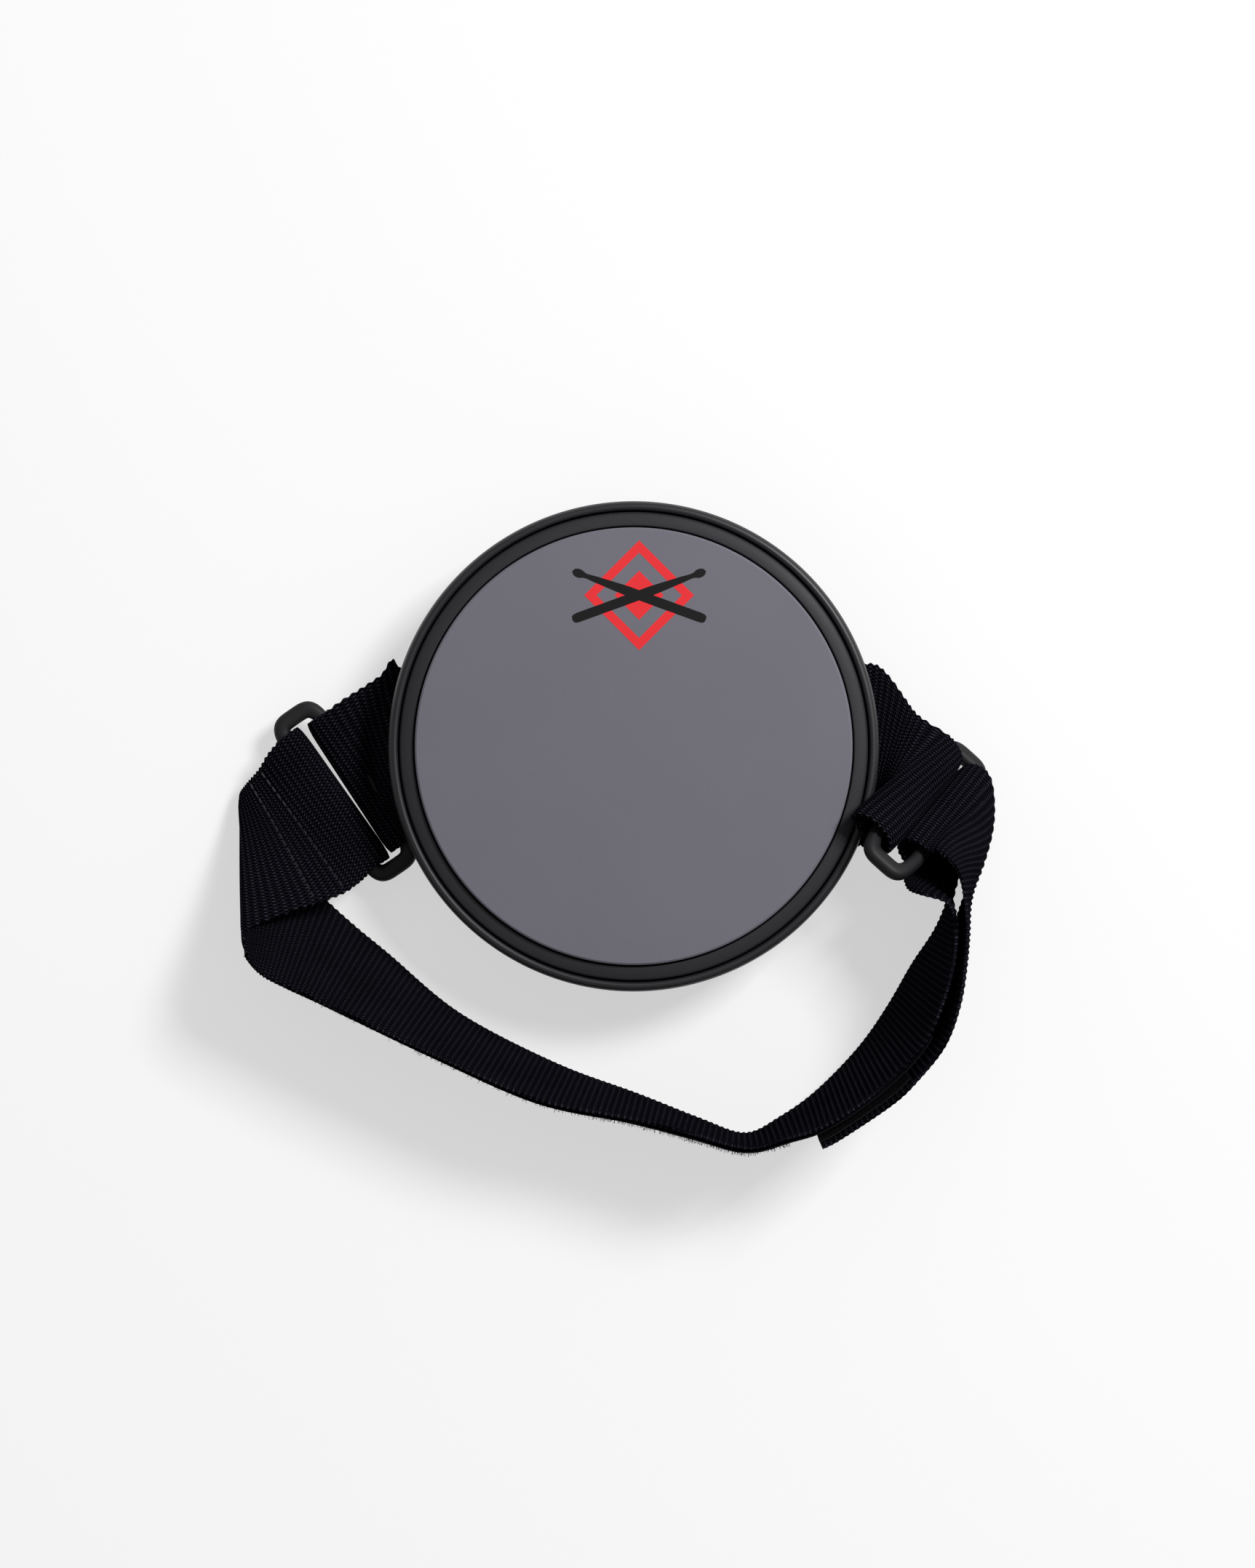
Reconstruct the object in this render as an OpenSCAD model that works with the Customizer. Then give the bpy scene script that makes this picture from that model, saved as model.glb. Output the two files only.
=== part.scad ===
// Knee practice pad: a rubber playing disc in a round tray, worn on the thigh with a webbing strap.
// Frame: +Z up, the pad's axis is Z, and the floor that it rests on is Z = 0.

/* [Pad] */
// Outer diameter of the base tray
tray_d = 152.4; // [140:0.2:170]
// Height of the tray's rim above the floor
rim_z = 32; // [30:0.5:36]
// Diameter of the grey playing disc
disc_d = 135.5; // [125:0.5:138]
// Thickness of the playing disc
disc_t = 5.5; // [4:0.5:6]
// How far the playing disc stands above the rim
disc_proud = 2; // [1:0.5:3]
// Outer diameter of the black rubber under-pad
under_d = 145.8; // [144:0.2:146]
// Thickness of the foam core under the rubber
foam_t = 4; // [3:0.5:5]

/* [Underside] */
// Thickness of the tray's floor
floor_t = 2.5; // [2:0.5:3]
// Diameter of the cover plate under the tray
plate_d = 118; // [112:1:120]
// Thickness of the cover plate
plate_t = 2.6; // [2.4:0.2:3]
// Radius of the thigh that the grip pads are cut to
thigh_r = 120; // [100:5:150]
// Circle that the four cover screws stand on
screw_circle_d = 96; // [90:1:100]

/* [Webbing] */
// Width of the webbing
web_w = 50; // [48:1:50]
// Thickness of the webbing
web_t = 2; // [1.6:0.2:2]
// Thickness of the loop tape
loop_t = 1.2; // [1:0.1:1.2]
// Thickness of the hook tape
hook_t = 1; // [0.8:0.1:1]

/* [Rings] */
// Outside length of a slide ring
ring_l = 62.6; // [62:0.2:64]
// Outside width of a slide ring
ring_w = 20; // [19.6:0.2:20.4]
// Diameter of a ring's round bars
bar_d = 4.6; // [4.4:0.1:4.8]

/* [Hidden] */
$fn = 96;

disc_top = rim_z + disc_proud;
disc_z = disc_top - disc_t;
foam_z = rim_z - 10 - foam_t;
floor_z = foam_z - floor_t;
web_z = floor_z - web_t - 0.2;
plate_z = web_z - 0.2 - plate_t;
clamp_y = web_w / 2 + 1;
lip_r = under_d / 2 + 0.3;
bar_y = ring_w / 2 - bar_d / 2;

// Place and attitude of each ring: centre, turn about Z, tilt of its length.
left_centre = [-91, -14, 9.5];
left_yaw = -55.7;
left_tilt = 0;
right_centre = [91.1, -19.7, 24.5];
right_yaw = 228;
right_tilt = 41;

// ---- Ribbon mathematics: a ruling is [x, y, z of the lower edge, x, y, z of the upper edge] ----
function lower(q) = [q[0], q[1], q[2]];
function upper(q) = [q[3], q[4], q[5]];
function unit(v) = v / norm(v);
function curve(a, b, c, d, t) =
    0.5 * (2 * b + (c - a) * t + (2 * a - 5 * b + 4 * c - d) * t * t
           + (3 * b - a - 3 * c + d) * t * t * t);
function smooth(p, k) = [for (i = [1 : len(p) - 3]) for (j = [0 : k - 1])
                             curve(p[i - 1], p[i], p[i + 1], p[i + 2], j / k), p[len(p) - 2]];
// A point at fraction f of the webbing's width; the rulings are drawn for 50 mm webbing.
function across(q, f) = lower(q) + (upper(q) - lower(q)) * (0.5 + (f - 0.5) * web_w / 50);
function along(p, i, f) = across(p[min(i + 1, len(p) - 1)], f) - across(p[max(i - 1, 0)], f);
function face_dir(p, i, f) = unit(cross(along(p, i, f), upper(p[i]) - lower(p[i])));
function skin(p, i, f, off) = across(p[i], f) + face_dir(p, i, f) * off;
// The same rulings with the first one moved along by a fraction g of the first step.
function trim(p, g) = concat([p[0] + (p[1] - p[0]) * g], [for (i = [1 : len(p) - 1]) p[i]]);

// Unit vectors of a ring: along its length, across it, and square to its plane.
function ring_e(yaw, tilt) = [cos(yaw) * cos(tilt), sin(yaw) * cos(tilt), sin(tilt)];
function ring_m(yaw) = [-sin(yaw), cos(yaw), 0];
function ring_k(yaw, tilt) = cross(ring_e(yaw, tilt), ring_m(yaw));

// Rulings of webbing wrapped round a bar, from angle a0 to a1, reaching lo and hi along the bar.
// The upper edge may start further round by lead, and then the webbing also starts higher.
function wrap(centre, yaw, tilt, side, r, a0, a1, n, lo, hi, lead = 0) =
    let (e = ring_e(yaw, tilt), m = ring_m(yaw), k = ring_k(yaw, tilt))
    [for (i = [0 : n]) let (a = a0 + (a1 - a0) * i / n, left = 1 - i / n, b = a + lead * left,
                            h = r + lead / 22 * left, c = centre + m * side * bar_y,
                            p = c + m * (h * cos(a)) + k * (h * sin(a)) + e * lo,
                            q = c + m * (h * cos(b)) + k * (h * sin(b)) + e * hi)
        [p[0], p[1], p[2], q[0], q[1], q[2]]];

// A strip between fractions f0 and f1 of the webbing's width, from off0 to off1 along its face.
module strip(p, f0, f1, off0, off1) {
    n = len(p);
    pts = [for (i = [0 : n - 1]) each [skin(p, i, f0, off0), skin(p, i, f1, off0),
                                       skin(p, i, f1, off1), skin(p, i, f0, off1)]];
    sides = [for (i = [0 : n - 2]) for (j = [0 : 3])
                 let (a = 4 * i + j, b = 4 * i + (j + 1) % 4)
                     each j == 2 ? [[a, b, a + 4], [b, b + 4, a + 4]] : [[a, b, b + 4], [a, b + 4, a + 4]]];
    ends = [[0, 3, 2], [0, 2, 1], [4 * n - 4, 4 * n - 3, 4 * n - 2], [4 * n - 4, 4 * n - 2, 4 * n - 1]];
    polyhedron(points = pts, faces = concat(sides, ends), convexity = 10);
}
module webbing(p) strip(p, 0, 1, -web_t / 2, web_t / 2);

// ---- Routes, in rulings from the lower edge to the upper edge of the webbing ----
strap_r = bar_d / 2 + 1.5 + web_t / 2;
tab_r = bar_d / 2 + 0.5 + web_t / 2;
left_wrap = wrap(left_centre, left_yaw, left_tilt, -1, strap_r, -80, 80, 8, -25, 25);
corner_route = [[-108, 5, 15, -80, -37, 14.5], [-114.5, -1.5, 13, -86, -42, 16.2],
    [-118, -7, 10, -91, -46, 20], [-122.5, -12, 7, -104, -50.5, 30], [-124.5, -15.5, 4.2, -119, -56.5, 38],
    [-121.5, -19, 1.9, -119, -64, 41.5], [-110, -33, 1.4, -114.5, -70, 43],
    [-100, -46.5, 1.2, -106.5, -74, 44], [-89.5, -56.5, 1, -98, -77.5, 45],
    [-78, -66, 1, -87, -82.5, 46], [-55.5, -84.8, 1, -61.8, -94, 47.5]];
run_route = [[-89.5, -56.5, 1, -98, -77.5, 45], [-78, -66, 1, -87, -82.5, 46],
    [-55.5, -84.8, 1, -61.8, -94, 47.5], [-25, -100.7, 1, -29.5, -108, 48.5],
    [1, -110.5, 1, -1, -113.8, 49], [21, -118.5, 1, 18.7, -118.7, 50],
    [35.5, -123.3, 1, 34.4, -122.7, 50], [47, -117.8, 1, 47.2, -119.7, 50],
    [58.5, -109.4, 1, 59, -115.8, 50], [71.8, -95.6, 1, 75.2, -105, 49],
    [81.1, -82.3, 1, 88.7, -91.3, 48]];
rise_route = [[58.5, -109.4, 1, 59, -115.8, 50], [71.8, -95.6, 1, 75.2, -105, 49],
    [81.1, -82.3, 1, 88.7, -91.3, 48], [88.8, -69, 1, 96, -74, 48], [93.6, -58, 1, 98.3, -59, 49],
    [98.5, -47, 1, 95.5, -48.3, 50], [103, -36, 1.4, 88.5, -45.5, 47], [106.5, -25, 2, 84.5, -44, 38.5],
    [108, -15, 3.4, 83.5, -40, 34], [104, -8, 8, 82, -34, 34]];
right_wrap = wrap(right_centre, right_yaw, right_tilt, 1, strap_r, 245, 95, 7, -25.5, 19);
over_route = [[110, -6.5, 11.4, 87, -31.5, 41], [112.4, -9.4, 11.4, 90.3, -32.6, 39.8],
    [114, -16.5, 6, 93, -32.2, 44.5], [113.8, -25.3, 2.2, 96, -34.5, 48],
    [113, -36.1, 1.2, 99, -38.5, 49.5], [111, -46, 1, 101, -45.5, 50],
    [108.4, -57, 1, 101.7, -56, 50], [105.5, -69, 1, 101, -67.5, 50],
    [99, -79, 1, 99.5, -79.5, 50], [89.8, -85.5, 1, 94.9, -91.5, 50], [81, -92.5, 1, 86.6, -102, 50],
    [75.5, -99.5, 1, 79, -109.3, 49.5]];
end_route = [[89.8, -85.5, 1, 94.9, -91.5, 50], [81, -92.5, 1, 86.6, -102, 50],
    [75.5, -99.5, 1, 79, -109.3, 49.5], [63, -112.7, 1, 63.5, -119.6, 50],
    [57.2, -117.6, 1, 57.5, -122.8, 50], [51, -122, 1, 51, -126, 50]];
hem_route = [[-106, 10, 6, -78, -32, 6], [-111.8, 1.6, 4.2, -83.6, -39.6, 4.2],
    [-117, -5.8, 5.6, -89.5, -44.8, 12.8], [-120.5, -9.8, 4.6, -96.5, -47.6, 21],
    [-123, -13, 3, -103, -50, 27]];
left_tab_route = [[-79.5, 22.3, 14.3, -65.5, -22, 14.3], [-85.5, 18.5, 14.3, -67.5, -24.5, 14.3],
    [-91.5, 14.8, 14.2, -69.6, -27.2, 13.9], [-96.5, 11.2, 13.5, -70.4, -28.7, 13.4],
    [-100, 8, 12, -73, -31, 12]];
right_tab_route = [[76, 26, 14.3, 70, -28, 14.3], [80.5, 22.1, 14.3, 73.5, -31.4, 14.3],
    [86, 15.5, 14.3, 73.6, -31.2, 20], [88.8, 12.2, 15, 72.8, -29.8, 28],
    [92.6, 9.6, 16.4, 71.3, -27.8, 35], [98, 3.6, 14, 69.6, -24, 42]];
left_tab_wrap = wrap(left_centre, left_yaw, left_tilt, 1, tab_r, 90, 255, 7, -24, 24);
right_tab_wrap = wrap(right_centre, right_yaw, right_tilt, -1, tab_r, 110, -75, 9, -24, 24, 70);

left_path = concat(left_wrap, smooth(corner_route, 4));
run_path = smooth(run_route, 5);
rise_path = smooth(rise_route, 4);
over_path = smooth(over_route, 4);
end_path = smooth(end_route, 4);
// Openings left at a seam inside one piece of webbing, and at the fold where its end peels.
seam = 0.03;
peel_seam = 0.15;

// ---- Pad ----
module playing_disc() color("#66666c")
    rotate_extrude($fn = 160)
        polygon([[0, disc_z], [disc_d / 2, disc_z], [disc_d / 2, disc_top - 0.6],
                 [disc_d / 2 - 0.6, disc_top], [0, disc_top]]);

module under_pad() color("#2c2c2f")
    rotate_extrude($fn = 160)
        polygon([[0, foam_z + foam_t], [under_d / 2, foam_z + foam_t], [under_d / 2, rim_z - 1.2],
                 [under_d / 2 - 0.8, rim_z - 0.6], [disc_d / 2 + 0.4, rim_z - 0.2],
                 [disc_d / 2 + 0.4, disc_z], [0, disc_z]]);

module foam_core() color("#3a3a3a")
    translate([0, 0, foam_z]) cylinder(d = under_d - 1, h = foam_t);

module base_tray() color("#242426") difference() {
    union() {
        rotate_extrude($fn = 160)
            polygon([[0, floor_z], [tray_d / 2 - 3, floor_z], [tray_d / 2 - 3, web_z + web_t + 0.2],
                     [tray_d / 2 - 1, web_z + web_t + 0.2], [tray_d / 2, floor_z + 2],
                     [tray_d / 2, rim_z - 2], [tray_d / 2 - 0.8, rim_z - 0.4],
                     [tray_d / 2 - 1.4, rim_z], [lip_r + 0.3, rim_z], [lip_r, rim_z - 0.4],
                     [lip_r, foam_z], [0, foam_z]]);
        for (a = [45 : 90 : 315]) rotate(a) translate([screw_circle_d / 2, 0, plate_z + plate_t])
            cylinder(d = 9, h = floor_z - plate_z - plate_t + 0.01, $fn = 48);
    }
    for (a = [45 : 90 : 315]) rotate(a) translate([screw_circle_d / 2, 0, plate_z])
        cylinder(d = 2.8, h = foam_z - 0.8 - plate_z, $fn = 32);
}

module cover_plate() color("#29292b") difference() {
    translate([0, 0, plate_z]) cylinder(d = plate_d, h = plate_t);
    for (a = [45 : 90 : 315]) rotate(a) translate([screw_circle_d / 2, 0, plate_z - 1])
        cylinder(d = 3.9, h = plate_t + 2, $fn = 32);
}

// Four pan-head screws, driven up through the plate into the tray's bosses.
module cover_screws() color("#8d9094")
    for (a = [45 : 90 : 315]) rotate(a) translate([screw_circle_d / 2, 0, 0]) difference() {
        union() {
            translate([0, 0, plate_z - 2]) cylinder(d = 6.5, h = 2, $fn = 40);
            translate([0, 0, plate_z - 0.01]) cylinder(d = 2.7, h = 6, $fn = 32);
        }
        for (t = [0, 90]) rotate(t) translate([-1.8, -0.4, plate_z - 2.1]) cube([3.6, 0.8, 1.1]);
    }

// A bar on each side of the webbing that keeps it in line between tray and plate.
module web_clamp(side) color("#29292b")
    translate([-28, side * (clamp_y + 2) - 2, plate_z + plate_t])
        cube([56, 4, floor_z - plate_z - plate_t]);

// Foam block under one side of the plate, scooped to sit on the thigh.
module grip_pad(side) color("#37373a") difference() {
    intersection() {
        translate([side * 41 - 15, -40, 0]) cube([30, 80, plate_z]);
        cylinder(r = plate_d / 2 - 1, h = plate_z);
    }
    translate([0, 50, 7.5 - thigh_r]) rotate([90, 0, 0]) cylinder(r = thigh_r, h = 100, $fn = 180);
    for (s = [-1, 1]) translate([side * screw_circle_d / 2 * cos(45), s * screw_circle_d / 2 * sin(45), -1])
        cylinder(d = 8, h = plate_z + 2, $fn = 48);
}

// The webbing's flat middle: it runs through the base and fans towards the strap on both sides.
module base_webbing() color("#121214")
    translate([0, 0, web_z]) linear_extrude(web_t)
        polygon([[-58, web_w / 2], [58, web_w / 2], [74, 26], [79.2, 22.4], [72, -31.2], [70, -34],
                 [58, -web_w / 2], [-58, -web_w / 2], [-62, -28], [-67, -24.6], [-85, 18.8], [-74, 25]]);

// Webbing of each tab: out from the base, over the near bar of its ring, and round it.
module left_tab() color("#121214") webbing(concat(smooth(left_tab_route, 3), left_tab_wrap));
module right_tab() color("#121214") webbing(concat(smooth(right_tab_route, 4), right_tab_wrap));

// A slide ring lies in its own plane with its two round bars along X.
module slide_ring() {
    for (s = [-1, 1]) translate([-ring_l / 2 + 4, s * bar_y, 0]) rotate([0, 90, 0])
        cylinder(d = bar_d, h = ring_l - 8, $fn = 40);
    for (s = [-1, 1]) translate([0, 0, -bar_d / 2]) linear_extrude(bar_d) intersection() {
        translate([s * (ring_l / 2 - 2.6), 0]) square([5.6, ring_w], center = true);
        hull() for (t = [-1, 1]) translate([s * (ring_l / 2 - 7), t * (ring_w / 2 - 7)])
            circle(r = 7, $fn = 64);
    }
}
module placed_ring(centre, yaw, tilt) translate(centre) rotate([0, -tilt, yaw]) slide_ring();
module left_ring() color("#1e1e20") placed_ring(left_centre, left_yaw, left_tilt);
module right_ring() color("#1e1e20") placed_ring(right_centre, right_yaw, right_tilt);

// ---- Strap: one length of webbing, from the left ring round to the right ring and back ----
module strap_left() color("#121214") webbing(left_path);
module strap_hem() color("#161618") webbing(smooth(hem_route, 3));
module strap_run() color("#121214") webbing(trim(run_path, seam));
module strap_right() color("#121214") webbing(trim(concat(rise_path, right_wrap), seam));
module strap_over() color("#121214") webbing(trim(over_path, 2 * seam));
module strap_end() color("#121214") webbing(trim(end_path, peel_seam));

// Tapes lie on the webbing's faces, just clear of it, and stop short of its edges.
tape_gap = 0.25;
tape_in = 0.03;
loop_path = concat([for (i = [22 : len(left_path) - 1]) left_path[i]],
                   [for (i = [1 : len(run_path) - 1]) run_path[i]],
                   [for (i = [1 : 4]) rise_path[i]]);
module loop_tape() color("#1a1a1d")
    strip(loop_path, tape_in, 1 - tape_in, web_t / 2 + tape_gap, web_t / 2 + tape_gap + loop_t);
module hook_tape() color("#1c1c1e")
    strip(trim(end_path, peel_seam), tape_in, 1 - tape_in,
          web_t / 2 + tape_gap, web_t / 2 + tape_gap + hook_t);

playing_disc();
under_pad();
foam_core();
base_tray();
cover_plate();
cover_screws();
web_clamp(-1);  // front_web_clamp
web_clamp(1);  // rear_web_clamp
grip_pad(-1);  // left_grip_pad
grip_pad(1);  // right_grip_pad
base_webbing();
left_tab();
left_ring();
right_tab();
right_ring();
strap_left();
strap_hem();
strap_run();
strap_right();
strap_over();
strap_end();
loop_tape();
hook_tape();
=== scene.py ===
"""Knee practice pad: a grey rubber disc in a round tray, worn on the thigh with a webbing strap.

The round parts are a profile of (radius, height) turned about Z. A ribbon of webbing is a ruled
surface: each station has a lower and an upper edge point joined by a straight line, the stations
follow a Catmull-Rom curve through the route, and the cloth's two faces lie half a thickness
along the surface's normal, plus a cosine rib of about 1.9 mm that also scallops both selvedges.
"""
import bpy
import bmesh
import numpy as np
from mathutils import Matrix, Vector


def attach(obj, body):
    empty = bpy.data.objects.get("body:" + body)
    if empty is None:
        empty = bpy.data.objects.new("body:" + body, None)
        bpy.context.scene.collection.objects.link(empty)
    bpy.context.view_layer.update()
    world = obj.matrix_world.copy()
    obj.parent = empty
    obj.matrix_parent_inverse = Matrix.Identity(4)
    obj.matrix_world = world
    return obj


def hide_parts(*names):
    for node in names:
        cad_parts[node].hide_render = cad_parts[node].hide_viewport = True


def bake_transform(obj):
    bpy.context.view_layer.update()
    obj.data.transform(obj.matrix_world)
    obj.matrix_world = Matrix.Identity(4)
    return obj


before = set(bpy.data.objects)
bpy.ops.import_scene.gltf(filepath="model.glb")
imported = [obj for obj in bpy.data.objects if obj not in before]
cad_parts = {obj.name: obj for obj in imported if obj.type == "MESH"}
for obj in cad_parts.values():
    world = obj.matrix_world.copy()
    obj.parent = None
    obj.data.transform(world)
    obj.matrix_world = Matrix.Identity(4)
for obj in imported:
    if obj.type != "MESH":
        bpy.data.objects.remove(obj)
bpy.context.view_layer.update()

# ---- Floor, light and camera ----
# A seamless pale table under soft studio light. One large lamp at the upper right gives the
# light shadow towards the lower left, and the camera looks straight down from 1.2 m.
MM = 0.001
scene = bpy.context.scene
scene.view_settings.view_transform = "Standard"
scene.view_settings.look = "None"

floor_mesh = bpy.data.meshes.new("floor")
floor_mesh.from_pydata([(-4, -4, 0), (4, -4, 0), (4, 4, 0), (-4, 4, 0)], [], [(0, 1, 2, 3)])
floor = bpy.data.objects.new("floor", floor_mesh)
scene.collection.objects.link(floor)
floor_paper = bpy.data.materials.new("floor paper")
floor_paper.use_nodes = True
paper = floor_paper.node_tree.nodes["Principled BSDF"]
paper.inputs["Base Color"].default_value = (0.42, 0.42, 0.42, 1)
paper.inputs["Roughness"].default_value = 1.0
paper.inputs["Specular IOR Level"].default_value = 0.0
paper.inputs["Emission Color"].default_value = (1, 1, 1, 1)
paper.inputs["Emission Strength"].default_value = 0.56
floor_mesh.materials.append(floor_paper)

scene.world = bpy.data.worlds.new("studio")
scene.world.use_nodes = True
sky = scene.world.node_tree.nodes["Background"]
sky.inputs["Color"].default_value = (1, 1, 1, 1)
sky.inputs["Strength"].default_value = 0.30


def lamp(name, place, size, power):
    """A square soft box at place, aimed at the pad."""
    light = bpy.data.lights.new(name, "AREA")
    light.size, light.energy = size, power
    box = bpy.data.objects.new(name, light)
    box.location = place
    box.rotation_euler = (Vector((0, -0.02, 0)) - Vector(place)).to_track_quat("-Z", "Y").to_euler()
    scene.collection.objects.link(box)


lamp("soft_box", (0.95, 0.80, 1.45), 0.5, 33)

camera = bpy.data.cameras.new("camera")
camera.sensor_fit = "VERTICAL"
camera.sensor_height = 36.0
camera.lens = 36.0 * 1170 / 486.8
camera.clip_end = 20
camera_object = bpy.data.objects.new("camera", camera)
camera_object.location = (-1.9 * MM, -11.7 * MM, 1.2)
scene.collection.objects.link(camera_object)
scene.camera = camera_object


# ---- Base tray ----
# A shallow round tray of moulded black ABS with a rounded lip. Four bosses under its floor
# take the cover screws. The foam and the rubber sit inside the lip.
def skin(rows, cols, wrap_rows=False, wrap_cols=False):
    """Quads of a grid of points: each joins a point, the next in its row, and the two below."""
    r = np.arange(rows if wrap_rows else rows - 1)[:, None]
    c = np.arange(cols if wrap_cols else cols - 1)[None, :]
    r2, c2 = (r + 1) % rows, (c + 1) % cols
    return np.stack(np.broadcast_arrays(r * cols + c, r * cols + c2,
                                        r2 * cols + c2, r2 * cols + c), -1).reshape(-1, 4)


def rounded(profile, radius, steps=5):
    """A profile whose inner corners are cut back by radius and bridged by a quadratic curve."""
    p = np.asarray(profile, float)
    r = np.broadcast_to(np.asarray(radius, float), (len(p) - 2,))[:, None]
    before, after = p[:-2] - p[1:-1], p[2:] - p[1:-1]
    a = p[1:-1] + before / np.linalg.norm(before, axis=1, keepdims=True) * r
    b = p[1:-1] + after / np.linalg.norm(after, axis=1, keepdims=True) * r
    t = np.linspace(0, 1, steps)[None, :, None]
    arcs = a[:, None] * (1 - t) ** 2 + 2 * p[1:-1, None] * t * (1 - t) + b[:, None] * t ** 2
    return np.vstack([p[:1], arcs.reshape(-1, 2), p[-1:]])


def lathe(profile, turns=256, centre=(0, 0)):
    """A profile of (radius, height) in mm turned about Z: x = r cos a, y = r sin a, z = h."""
    r, h = np.asarray(profile, float).T
    a = np.linspace(0, 2 * np.pi, turns, endpoint=False)
    grid = np.stack([centre[0] + np.outer(r, np.cos(a)), centre[1] + np.outer(r, np.sin(a)),
                     np.repeat(h[:, None], turns, 1)], -1)
    return grid.reshape(-1, 3) * MM, skin(len(r), turns, wrap_cols=True)


def piece(name, shells, material, body=None, replaces=(), weave=None, sharp=40):
    """One object from closed shells of (points, quads), doubles merged and faces outwards.
    weave gives each point its place in the cloth: along, across and side."""
    points = np.vstack([s[0] for s in shells])
    first = np.cumsum([0] + [len(s[0]) for s in shells[:-1]])
    quads = np.vstack([s[1] + k for s, k in zip(shells, first)])
    mesh = bpy.data.meshes.new(name)
    mesh.from_pydata(points.tolist(), [], quads.tolist())
    if weave is not None:
        attribute = mesh.attributes.new("weave", "FLOAT_VECTOR", "POINT")
        attribute.data.foreach_set("vector", np.asarray(weave, np.float32).ravel())
    work = bmesh.new()
    work.from_mesh(mesh)
    bmesh.ops.remove_doubles(work, verts=work.verts, dist=2e-7)
    bmesh.ops.dissolve_degenerate(work, edges=work.edges, dist=1e-8)
    bmesh.ops.recalc_face_normals(work, faces=work.faces)
    work.to_mesh(mesh)
    work.free()
    mesh.shade_smooth()
    mesh.set_sharp_from_angle(angle=np.radians(sharp))
    mesh.materials.append(material)
    thing = bpy.data.objects.new(name, mesh)
    scene.collection.objects.link(thing)
    if body:
        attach(thing, body)
    if replaces:
        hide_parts(*replaces)
    return thing


def finish_of(name, colour, roughness, **sockets):
    """A new material with its Principled shader's plain values set; returns it and its nodes."""
    material = bpy.data.materials.new(name)
    material.use_nodes = True
    nodes = material.node_tree.nodes
    shader = nodes["Principled BSDF"]
    shader.inputs["Base Color"].default_value = (*colour, 1)
    shader.inputs["Roughness"].default_value = roughness
    for socket, value in sockets.items():
        shader.inputs[socket.replace("_", " ")].default_value = value
    return material, nodes, material.node_tree.links, shader


def grained(name, colour, roughness, grain, height, blotch=0.12, rough_swing=0.08, **sockets):
    """A moulded surface: noise of the grain's size as bump, and large soft blotches in the
    colour and the roughness."""
    material, nodes, links, shader = finish_of(name, colour, roughness, **sockets)
    place = nodes.new("ShaderNodeTexCoord")
    fine, broad = nodes.new("ShaderNodeTexNoise"), nodes.new("ShaderNodeTexNoise")
    fine.inputs["Scale"].default_value = 1 / grain
    fine.inputs["Detail"].default_value = 4
    broad.inputs["Scale"].default_value = 28
    broad.inputs["Detail"].default_value = 5
    for noise in (fine, broad):
        links.new(place.outputs["Object"], noise.inputs["Vector"])
    bump = nodes.new("ShaderNodeBump")
    bump.inputs["Strength"].default_value = 1.0
    bump.inputs["Distance"].default_value = height
    links.new(fine.outputs["Fac"], bump.inputs["Height"])
    links.new(bump.outputs["Normal"], shader.inputs["Normal"])
    shade = nodes.new("ShaderNodeMix")
    shade.data_type = "RGBA"
    shade.inputs["A"].default_value = (*[c * (1 - blotch) for c in colour], 1)
    shade.inputs["B"].default_value = (*[c * (1 + blotch) for c in colour], 1)
    links.new(broad.outputs["Fac"], shade.inputs["Factor"])
    links.new(shade.outputs["Result"], shader.inputs["Base Color"])
    swing = nodes.new("ShaderNodeMapRange")
    swing.inputs["To Min"].default_value = roughness - rough_swing
    swing.inputs["To Max"].default_value = roughness + rough_swing
    links.new(broad.outputs["Fac"], swing.inputs["Value"])
    links.new(swing.outputs["Result"], shader.inputs["Roughness"])
    return material


tray_plastic = grained("moulded black plastic", (0.017, 0.0165, 0.019), 0.45, 0.0006, 0.00003,
                       Specular_IOR_Level=0.35)
BOSS_CIRCLE, CORNERS = 48.0, np.radians([45, 135, 225, 315])
tray = [lathe(rounded([(0, 15.5), (73.2, 15.5), (73.2, 15.5), (75.4, 15.6), (76.2, 17.5),
                       (76.2, 30.2), (75.2, 31.9), (73.9, 32.05), (73.25, 31.4), (73.2, 18), (0, 18)],
                      [0.001, 0.001, 0.8, 0.8, 1.2, 0.8, 0.5, 0.4, 0.01]))]
tray += [lathe(rounded([(1.4, 16.9), (1.4, 13.15), (4.4, 13.15), (4.5, 15.6), (3.5, 16.9), (1.4, 16.9)],
                       [0.2, 0.3, 0.3, 0.3]), 48,
               (BOSS_CIRCLE * np.cos(a), BOSS_CIRCLE * np.sin(a))) for a in CORNERS]
tray += [lathe(rounded([(69.2, 15.7), (69.2, 13.4), (72.6, 13.4), (73.0, 15.7), (69.2, 15.7)], 0.3))]
piece("base_tray_shell", tray, tray_plastic, "root", ["base_tray"])

# ---- Foam core ----
# A disc of closed-cell foam glued under the rubber. It softens the stroke and is hidden when
# the pad is whole.
foam = grained("closed-cell foam", (0.030, 0.030, 0.032), 0.95, 0.0012, 0.0003)
piece("foam_disc", [lathe(rounded([(0, 18.02), (72.4, 18.02), (72.4, 21.98), (0, 21.98)], 0.8))], foam,
      "root", ["foam_core"])

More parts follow.
